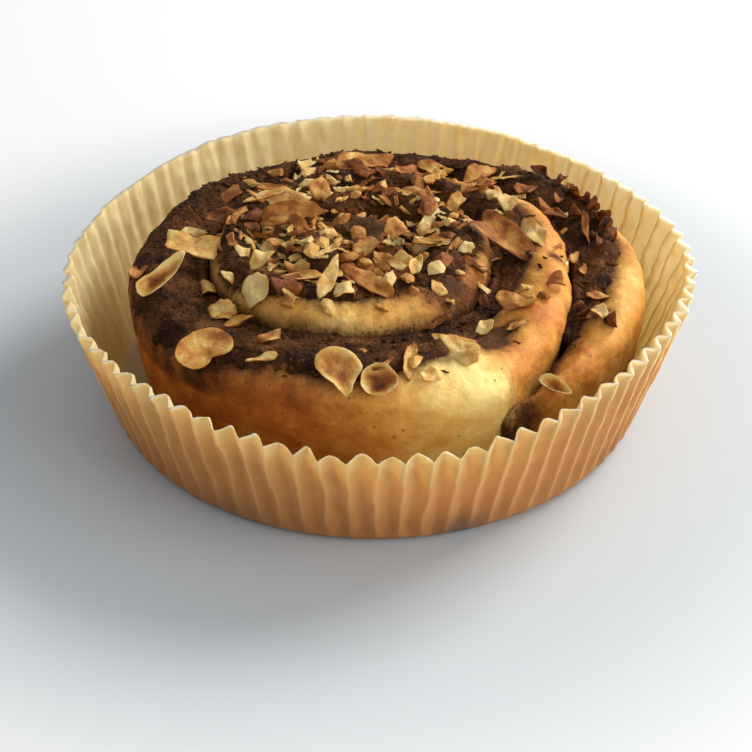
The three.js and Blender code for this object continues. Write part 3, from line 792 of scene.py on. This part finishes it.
# Sliced nuts: place in plan, length, width, bearing of the long side in degrees, how far the back is
# raised, sideways tilt, curl about the long side and how toasted it is. The largest also say how much deeper
# the middle is toasted, how many straight breaks the outline has, how much the rim is raised, and where the
# outline juts out or is notched: bearing from the long side in degrees, width in degrees, amount.
slices = [
    (-32.5, -37.4, 11.4, 8.8, 25, 24, 0, 0.1, 0.42,
     {"heart": -0.12, "cup": 0.16, "juts": [(-74, 26, -0.55)]}),
    (-20.6, -35.8, 7, 2.8, 20, 20, 0, 0.3, 0.45),
    (-21.1, -41.5, 6.8, 2.2, 15, 22, 0, 0.1, 0.15),
    (-6.9, -45.6, 10, 8.4, -10, 34, 4, 0.1, 0.26,
     {"heart": 0.5, "cup": 0.2, "juts": [(-70, 14, 0.62), (-130, 44, -0.25), (-15, 36, -0.24)]}),
    (0.6, -47.6, 6.8, 6.6, 0, 36, 0, 0.0, 0.36, {"heart": 0.7, "cup": 0.55}),
    (-43.6, -14, 13.4, 5.2, 42, 24, -10, 0.5, 0.2,
     {"heart": 0.8, "cup": 0.4, "juts": [(180, 60, -0.25), (20, 30, 0.15), (90, 24, -0.25)]}),
    (-49, -7.6, 7, 4, 70, 28, 40, 0.6, 0.66),
    (-38.1, -1.3, 10.5, 8, -8, 20, 8, 0.35, 0.2,
     {"juts": [(85, 26, -0.4), (-95, 28, -0.35), (32, 13, 0.28), (146, 13, 0.28), (-36, 13, 0.25),
               (-148, 15, 0.22)]}),
    (-39.4, 7.5, 7.5, 2.4, -5, 12, 0, 0.1, 0.0),
    (-31.9, 10.4, 10, 5, 30, 22, -6, 0.4, 0.72),
    (-29, 8.4, 7.5, 2.2, 40, 24, 0, 0.2, 0.4),
    (-18.5, 16.4, 10, 6, 12, 24, 6, 0.4, 0.25),
    (-23.6, 15.6, 12, 2.8, 28, 20, 8, 0.3, 0.18),
    (-11.5, 15, 7, 5, 70, 26, -8, 0.3, 0.35),
    (-17.4, 6.6, 15, 5.2, 14, 26, 4, 0.4, 0.55),
    (-2, 33, 14.5, 6.4, 12, 7, 3, 0.35, 0.5, {"heart": 0.1, "breaks": 1}),
    (-15.7, -11.2, 7, 5.6, -40, 28, -6, 0.3, 0.35),
    (-29.7, -13.6, 4.6, 2.2, -60, 20, 0, 0.1, 0.3),
    (-34.3, -12.3, 4.2, 4, 10, 16, 0, 0.1, 0.25),
    (-30.4, -21.3, 7, 5, 4, 26, 0, 0.2, 0.3),
    (-26.9, -26, 6, 3, 20, 26, 0, 0.2, 0.4),
    (-17.7, -21.8, 6.6, 5, -12, 34, 0, 0.2, 0.8),
    (-22.2, -2, 5.2, 4.4, 70, 34, 8, 0.1, 0.05),
    (-23.3, -11.6, 6, 5, 30, 30, 0, 0.1, 0.05),
    (-23.9, -20.3, 7.6, 6, 80, 36, 0, 0.15, 0.0),
    (-27.1, -7, 3.6, 3, 0, 20, 0, 0.0, 0.0),
    (-9.3, -20, 12, 3.4, 68, 34, 16, 0.4, 0.12),
    (-0.5, -21.2, 15, 4.4, -38, 32, -6, 0.35, 0.5),
    (-13.6, -14.2, 12, 3, 6, 20, 6, 0.5, 0.3),
    (-6.4, -24, 5.6, 4.4, 60, 30, 0, 0.2, 0.1),
    (-2, -7, 5.6, 5, 30, 30, 0, 0.4, 0.4),
    (1.2, -9, 5, 4, -20, 26, 10, 0.2, 0.3),
    (24, 24, 5, 4, 15, 20, 0, 0.4, 0.4),
    (-7.7, 16.9, 3.6, 2.6, 0, 16, 0, 0.0, 0.0),
    (13.2, 37.2, 9, 4.4, -12, 14, 0, 0.3, 0.4, {"heart": -0.1, "breaks": 1}),
    (9.6, 21, 12, 5.6, -12, 22, -6, 0.6, 0.15),
    (22.5, 30.6, 10.5, 5.4, 28, 22, 8, 0.5, 0.45),
    (17, 9.6, 5.4, 4.6, 50, 24, 0, 0.9, 0.3),
    (26, -2, 19, 7.2, -40, 22, 6, 0.25, 0.6,
     {"heart": -0.1, "breaks": 1, "juts": [(180, 30, -0.2)]}),
    (33.2, -1, 9, 5, -52, 16, 0, 0.2, 0.12),
    (25.3, 17.2, 5.2, 4, 20, 24, 0, 0.1, 0.1),
    (28.1, 13.2, 5.6, 4, 60, 24, 0, 0.1, 0.1),
    (18.3, -8.6, 3.6, 2.6, 30, 26, 0, 0.0, 0.0),
    (4, -1.6, 6.6, 5, 40, 24, 0, 0.4, 0.4),
    (4.9, -11.6, 6.2, 4.6, -10, 26, 0, 0.3, 0.15),
    (8.2, -14.6, 6.4, 2.8, 75, 36, 20, 0.3, 0.15),
    (11.3, -5.8, 8.6, 2.6, 8, 22, 0, 0.4, 0.4),
    (37.4, 13.8, 8, 4.6, -30, 16, 0, 0.4, 0.7),
    (41.5, -0.2, 6.4, 2.6, 80, 16, 20, 0.3, 0.65),
    (42.9, -5, 5.8, 2.4, 85, 16, 20, 0.3, 0.7),
    (44.5, -21.8, 6.4, 4.8, -45, 24, 6, 0.1, 0.0),
    (36.3, -15.9, 4.4, 3.2, 10, 16, 0, 0.3, 0.6),
    (27.6, -23.2, 8.6, 4.6, 6, 18, 0, 0.3, 0.5),
    (21, -28.4, 4.8, 3.8, 20, 24, 0, 0.2, 0.1),
    (34.3, -40.6, 7, 3.6, -28, 34, 0, 0.7, 0.1,
     {"heart": 1.0, "cup": 0.3, "juts": [(-90, 50, -0.3)]}),
    (6.6, -42.4, 9.5, 3.2, 80, 44, 24, 0.5, 0.35),
    (16.7, -40.6, 11, 8, -28, 24, -8, 0.06, 0.16,
     {"heart": 0.1, "breaks": 5, "juts": [(150, 26, 0.2)]}),
    (10.3, -46.3, 4.8, 3.8, 10, 34, 16, 0.3, 0.12),
    (12.3, -20.2, 4.2, 3.2, -30, 26, 0, 0.1, 0.15),
    (44.8, -14.4, 6.2, 2.4, -5, 16, 0, 0.2, 0.5),
    # Dark, almost burnt curls, most of them along the edge at the back right.
    (37, 30, 6.5, 3, -35, 40, 20, 0.6, 0.98),
    (41, 27, 4.4, 3.2, 40, 16, 0, 1.7, 0.92),
    (42.4, 24.4, 3.2, 2.6, -20, 10, 30, 1.5, 0.8),
    (43.8, 22, 5, 3.6, -30, 12, 10, 1.7, 0.96),
    (45.2, 18.6, 4.2, 3.4, -70, 12, -20, 1.6, 0.82),
    (47, 16, 3.6, 2.8, 20, 14, 10, 1.6, 0.95),
    (48, 12.4, 4.6, 3.2, -60, 12, 20, 1.7, 0.9),
    (49.4, 9.6, 3.8, 3, 20, 14, 0, 1.7, 0.98),
    (50.4, 6, 3.4, 2.6, 80, 16, -10, 1.6, 0.85),
    (46.4, 6.8, 3, 2.4, 50, 12, 0, 1.4, 0.9),
    (44.6, 9, 9, 2.4, -85, 10, 10, 0.6, 0.66),
    (40, 19.5, 4.6, 3, 60, 12, 0, 1.2, 0.85),
    (47, 1, 4, 3, 70, 12, 0, 1.5, 0.9),
    (33, 24.5, 6.5, 3.4, 20, 14, 0, 0.7, 0.72),
    (43, 14, 3.6, 2.8, 10, 12, 0, 1.5, 0.92),
    (41, -20.4, 4.4, 3.4, 10, 12, 0, 1.6, 1.0),
    (46.4, -24.4, 4, 3.2, -40, 12, 0, 1.6, 1.0),
]
sliceShape = {
    "thickness": 0.7,
    "edge": 0.28,
    "around": 30,
    "rings": 5,
    "sink": 0.3,
    "highest": 39.6,
    "bow": 0.04,  # along the slice, as a share of its length
    "rumple": 0.5,
    "patches": 0.34,  # how unevenly it is toasted
    "first seed": 11,
}


def slicePoints(plan, seed):
    long, wide, turn, tip, roll, curl, toast = plan[2:9]
    draw = random.Random(seed)
    slim = wide / long < 0.6
    known = len(plan) > 9
    shape = plan[9] if known else {"heart": draw.uniform(-0.35, 0.3), "breaks": draw.choice((2, 3, 4))}
    heart, cup, juts = shape.get("heart", 0), shape.get("cup", 0), shape.get("juts", [])
    ragged = 0.05 if known else 0.15
    waves = []
    for k in (2, 3, 5, 8, 11):
        waves.append((k, draw.uniform(-ragged, ragged) / math.sqrt(k), draw.uniform(0, tau)))
    cuts = [(draw.uniform(0.5, 0.86), draw.uniform(0, tau)) for _ in range(shape.get("breaks", 0))]
    warp = [(draw.uniform(0.06, 0.2), draw.choice((1, 2, 2, 3)), draw.uniform(0, tau)) for _ in range(2)]
    turned = Matrix.Rotation(math.radians(tip), 3, "X") @ Matrix.Rotation(math.radians(turn), 3, "Z")
    turned = turned @ Matrix.Rotation(math.radians(roll), 3, "Y")
    around, rings = sliceShape["around"], sliceShape["rings"]
    points, skins, toasts = [], [], []

    def add(share, angle, side):  # side is 1 on the upper face, -1 on the lower, 0 at the edge
        edge = 1 + sum(height * math.cos(k * angle + at) for k, height, at in waves)
        for reach, at in cuts:
            towards = math.cos(angle - at)
            if towards > 0.05:
                edge = min(edge, reach / towards)
        for at, width, amount in juts:
            apart = math.remainder(angle - math.radians(at), tau) / math.radians(width)
            edge *= 1 + amount * math.exp(-(apart**2))
        u = share * edge * math.cos(angle)
        v = share * edge * math.sin(angle) * (1 - 0.3 * slim * math.cos(angle))
        bend = curl * wide / 2 * v * v + sliceShape["bow"] * long * u * u + cup * wide / 2 * share**3
        warped = sum(wide * h * share**2 * math.cos(k * angle + at) for h, k, at in warp)
        bend += warped * 0.4 if known else warped
        half = mix(sliceShape["thickness"], sliceShape["edge"], share**3) / 2
        spot = Vector((u * long / 2, v * wide / 2 * (1 - 0.22 * min(curl, 1)), bend + side * half))
        spot.z += sliceShape["rumple"] * grain(spot.x, spot.y, 0, 2.8, seed * 1.7)
        points.append(turned @ spot)
        skins.append(share if not cup else 0)
        patch = sliceShape["patches"] * grain(spot.x, spot.y, 0, 2.4, seed * 2.3)
        toasts.append(clamp(toast + heart * (0.6 - share**2) + patch, 0, 1.1))

    add(0.0, 0.0, -1)
    profile = [(i / rings, -1) for i in range(1, rings)] + [(0.97, -0.8), (1.0, 0.0), (0.97, 0.8)]
    profile += [(i / rings, 1) for i in range(rings - 1, 0, -1)]
    for share, side in profile:
        for j in range(around):
            add(share, j / around * tau, side)
    add(0.0, 0.0, 1)
    faces = []
    for j in range(around):
        after = (j + 1) % around
        faces.append((0, 1 + after, 1 + j))
        for i in range(len(profile) - 1):
            a, b = 1 + i * around + j, 1 + i * around + after
            faces.append((a, b, b + around, a + around))
        last = 1 + (len(profile) - 1) * around
        faces.append((len(points) - 1, last + j, last + after))
    return points, faces, skins, toasts


def restingHeight(surface, points, x, y):  # so that the lowest points just reach the surface
    height = 0.0
    for point in points:
        below = heightUnder(surface, x + point.x, y + point.y)
        if below is not None:
            height = max(height, below - point.z)
    return height


def toastedNut():
    nut = Recipe(
        "toasted nut",
        Roughness=0.5,
        Specular_IOR_Level=0.2,
        Subsurface_Weight=0.15,
        Subsurface_Scale=0.002,
        Subsurface_Radius=(1.0, 0.5, 0.25),
    )
    toast = nut.attribute("toast")
    skin = nut.attribute("skin")
    clouds = nut.noise(3.6, 3.0)
    fine = nut.noise(1.0, 4.0, 0.65)
    level = toast * 0.85 + (clouds - 0.5) * 0.8 + skin.between(0.84, 1.0) * 0.16 + (fine - 0.5) * 0.3
    colour = nut.ramp(
        level,
        (0.0, (0.74, 0.53, 0.22)),
        (0.16, (0.63, 0.375, 0.105)),
        (0.36, (0.48, 0.215, 0.044)),
        (0.56, (0.30, 0.095, 0.019)),
        (0.75, (0.15, 0.042, 0.010)),
        (0.95, (0.035, 0.012, 0.0045)),
    )
    roughness = 0.48 + fine * 0.3
    return nut.finish(colour, roughness, fine + clouds * 0.5, 0.35)


def makeSlices(surface, material):
    points, faces, skins, toasts = [], [], [], []
    for index, plan in enumerate(slices):
        shape, shapeFaces, shapeSkins, shapeToasts = slicePoints(plan, index + sliceShape["first seed"])
        height = restingHeight(surface, shape, plan[0], plan[1]) - sliceShape["sink"]
        height = min(height, sliceShape["highest"] - max(point.z for point in shape))
        offset = len(points)
        points += [(p.x + plan[0], p.y + plan[1], p.z + height) for p in shape]
        faces += [tuple(i + offset for i in face) for face in shapeFaces]
        skins += shapeSkins
        toasts += shapeToasts
    piece = meshPiece("sliced_nuts", points, faces)
    setAttribute(piece, "skin", skins)
    setAttribute(piece, "toast", toasts)
    turnOutward(piece)
    placeOnFrame(piece, material, None, "cinnamon_filling", "dough_swirl")
    return piece


def scatterBed(name, surface, reach, step, densityAt):  # the bun's top, with how thickly bits lie on it
    x0, y0 = bun["centre"]
    count = int(2 * reach / step)
    points, faces, density, index = [], [], [], {}
    for i in range(count + 1):
        for j in range(count + 1):
            x, y = x0 - reach + i * step, y0 - reach + j * step
            z = heightUnder(surface, x, y)
            if z is not None and z > 24 and math.hypot(x - x0, y - y0) < reach:
                index[i, j] = len(points)
                points.append((x, y, z))
                density.append(densityAt(x, y))
    for i, j in index:
        corners = [(i, j), (i + 1, j), (i + 1, j + 1), (i, j + 1)]
        if all(corner in index for corner in corners):
            faces.append([index[corner] for corner in corners])
    piece = meshPiece(name, points, faces)
    setAttribute(piece, "density", density)
    return piece


def chunkKinds(ball, shard):  # the noise's place, the shape and how strongly it is bent
    balls = [(seed, ball, 2.7) for seed in (1.3, 4.1)]
    return balls + [(seed, shard, 1.7) for seed in (9.2, 12.4, 15.1, 18.6, 21.7)]


def scatter(piece, sizes, material):
    build = Build(piece.name)
    size = {name: build.number(name, value) for name, value in sizes.items()}
    density = build.node("GeometryNodeInputNamedAttribute", None, {"Name": "density"}, "Attribute")
    spots = build.node(
        "GeometryNodeDistributePointsOnFaces",
        {"distribute_method": "POISSON"},
        {
            "Mesh": build.geometry(),
            "Distance Min": size["spacing"] * mm,
            "Density Max": size["density"] * 1e6,
            "Density Factor": density,
            "Seed": size["seed"],
        },
        "Points",
    )
    position = build.node("GeometryNodeInputPosition")
    ball = build.node("GeometryNodeMeshIcoSphere", None, {"Radius": 1.0, "Subdivisions": 2}, "Mesh")
    shard = build.node(
        "GeometryNodeMeshCube",
        None,
        {"Size": (2.8, 1.4, 0.42), "Vertices X": 6, "Vertices Y": 4, "Vertices Z": 2},
        "Mesh",
    )
    kinds = []
    for seed, shape, push in chunkKinds(ball, shard):
        moved = build.node("ShaderNodeVectorMath", {"operation": "ADD"}, {0: position, 1: (seed, seed, 0)})
        bump = build.node("ShaderNodeTexNoise", None, {"Vector": moved, "Scale": 0.8, "Detail": 1.0}, "Color")
        bump = build.node("ShaderNodeVectorMath", {"operation": "SUBTRACT"}, {0: bump, 1: (0.5, 0.5, 0.5)})
        bump = build.node("ShaderNodeVectorMath", {"operation": "SCALE"}, {0: bump, "Scale": push})
        kind = build.node("GeometryNodeSetPosition", None, {"Geometry": shape, "Offset": bump})
        if shape is ball:
            kind = build.node("GeometryNodeConvexHull", None, {"Geometry": kind})  # broken, angular faces
        kinds.append(kind)
    choice = build.node("GeometryNodeGeometryToInstance", None, {})
    for kind in kinds:
        build.tree.links.new(kind.socket, choice.socket.node.inputs[0])
    low, high = size["smallest"], size["largest"]
    long = build.random(0.0, 1.0, 3)
    half = (low + (high - low) * long * long) * (0.5 * mm)
    stretch = build.node(
        "ShaderNodeCombineXYZ",
        None,
        {
            "X": half * build.random(0.9, 1.5, 4),
            "Y": half * build.random(0.6, 1.0, 5),
            "Z": half * build.random(0.5, 0.95, 6),
        },
    )
    tilt = build.node("ShaderNodeCombineXYZ", None, {"X": size["tilt"], "Y": size["tilt"], "Z": 1.0})
    spin = build.random((-1.0, -1.0, 0.0), (1.0, 1.0, tau), 7)
    spin = build.node("ShaderNodeVectorMath", {"operation": "MULTIPLY"}, {0: spin, 1: tilt})
    placed = build.node(
        "GeometryNodeInstanceOnPoints",
        None,
        {
            "Points": spots,
            "Instance": choice,
            "Pick Instance": True,
            "Rotation": spin,
            "Scale": stretch,
        },
        "Instances",
    )
    toast = build.random(size["least toast"], size["most toast"], 8)
    for name, value in (("toast", toast), ("skin", toast * 0.6)):
        placed = build.node(
            "GeometryNodeStoreNamedAttribute",
            {"data_type": "FLOAT", "domain": "INSTANCE"},
            {"Geometry": placed, "Name": name, "Value": value},
        )
    lift = build.node("ShaderNodeCombineXYZ", None, {"Z": size["lift"] * mm})
    values = {"Instances": placed, "Translation": lift, "Local Space": False}
    placed = build.node("GeometryNodeTranslateInstances", None, values)
    build.apply(piece, placed, material)
    piece.data.shade_flat()
    return piece


# Where fewer chopped nuts lie: x, y, radius, how much fewer. The heart of the swirl shows in the first.
nutGaps = [(-5, 8, 6.5, 0.95), (13.5, 34, 3.5, 1.0)]


def nutDensity(x, y):
    away = math.hypot(x + 5, (y - 4) * 0.95)
    back = 0.5 * math.exp(-(((x - 8) / 26) ** 2 + ((y - 33) / 8) ** 2))
    return clamp(1 - smooth(17, 30, away) * 0.95 + back - spotsAt(nutGaps, x, y))


def crumbDensity(x, y):
    onDough = heightUnder(doughTree, x, y) or 0
    onFilling = heightUnder(fillingTree, x, y) or 0
    patchy = 0.55 + 0.45 * grain(x, y, 0, 6.0, 3.0)
    return clamp(patchy) * (1.0 if onFilling > onDough else 0.06)


choppedSizes = {
    "spacing": 1.7,
    "density": 0.3,
    "smallest": 1.5,
    "largest": 4.4,
    "lift": 0.3,
    "tilt": 0.45,
    "least toast": 0.0,
    "most toast": 0.84,
    "seed": 5,
}
crumbSizes = {
    "spacing": 0.9,
    "density": 0.55,
    "smallest": 0.6,
    "largest": 1.35,
    "lift": 0.1,
    "tilt": 0.15,
    "least toast": 0.5,
    "most toast": 0.84,
    "seed": 9,
}


# Floor, light and camera

view = {"distance": 376.7, "elevation": 34.86, "lens": 82.39, "shift": (0.00036, -0.00273)}

lights = {  # where it stands in metres, how wide it is, its power and colour
    "window": ((0.83, 0.60, 0.72), 0.6, 15.5, (1.0, 0.98, 0.95)),
    "side": ((1.15, -0.55, 0.42), 1.1, 13.0, (1.0, 0.99, 0.97)),
}
room = {"colour": (0.96, 0.98, 1.0), "strength": 0.52}
floorLooks = {
    "near": [(0.54, 0.585, 0.61), (0.565, 0.61, 0.64)],
    "far": (0.84, 0.845, 0.85),
    "fade": (0.078, 0.15),  # metres from the middle
}


def makeStage():
    bpy.context.scene.view_settings.view_transform = "Standard"
    bpy.ops.mesh.primitive_plane_add(size=6, location=(0, 0, -0.0002))
    floor = bpy.context.object
    floor.name = "floor"
    stone = Recipe("pale floor", Roughness=0.6)
    away = stone.node("ShaderNodeVectorMath", {"operation": "LENGTH"}, {0: stone.place}, "Value")
    near = stone.blend(stone.noise(300.0), *floorLooks["near"])
    colour = stone.blend(away.between(*floorLooks["fade"]), near, floorLooks["far"])
    floor.data.materials.append(stone.finish(colour))
    world = bpy.data.worlds.new("soft room")
    bpy.context.scene.world = world
    world.use_nodes = True
    world.node_tree.nodes["Background"].inputs["Color"].default_value = (*room["colour"], 1)
    world.node_tree.nodes["Background"].inputs["Strength"].default_value = room["strength"]
    for name, (place, size, power, colour) in lights.items():
        lamp = bpy.data.lights.new(name, "AREA")
        lamp.size = size
        lamp.energy = power
        lamp.color = colour
        holder = bpy.data.objects.new(name, lamp)
        holder.location = place
        holder.rotation_euler = (-Vector(place)).to_track_quat("-Z", "Y").to_euler()
        bpy.context.scene.collection.objects.link(holder)
    print("floor and", len(lights), "lights")


def makeCamera():
    tilt = math.radians(view["elevation"])
    camera = bpy.data.cameras.new("camera")
    camera.sensor_width = 36
    camera.lens = view["lens"]
    camera.shift_x, camera.shift_y = view["shift"]
    camera.clip_start = 0.01
    holder = bpy.data.objects.new("camera", camera)
    holder.location = Vector((0, -math.cos(tilt), math.sin(tilt))) * view["distance"] * mm
    holder.rotation_euler = Euler((math.pi / 2 - tilt, 0, 0))
    bpy.context.scene.collection.objects.link(holder)
    bpy.context.scene.camera = holder
    print("camera at", view["distance"], "mm")


# The whole

makeCase()
doughPieces = makeDough()
fillingPiece = makeFilling()
doughTree = treeOf(doughPieces)
fillingTree = treeOf([fillingPiece])
surface = treeOf([*doughPieces, fillingPiece])
nutMaterial = toastedNut()
makeSlices(surface, nutMaterial)
chopped = scatter(scatterBed("chopped_nuts", surface, 44, 0.9, nutDensity), choppedSizes, nutMaterial)
placeOnFrame(chopped, nutMaterial, None, "cinnamon_filling", "dough_swirl")
sugar = fillingPiece.data.materials[0]
crumbs = scatter(scatterBed("sugar_crumbs", surface, 50, 0.8, crumbDensity), crumbSizes, sugar)
placeOnFrame(crumbs, sugar, "dark_filling", "cinnamon_filling")
makeStage()
makeCamera()

bpy.context.view_layer.update()
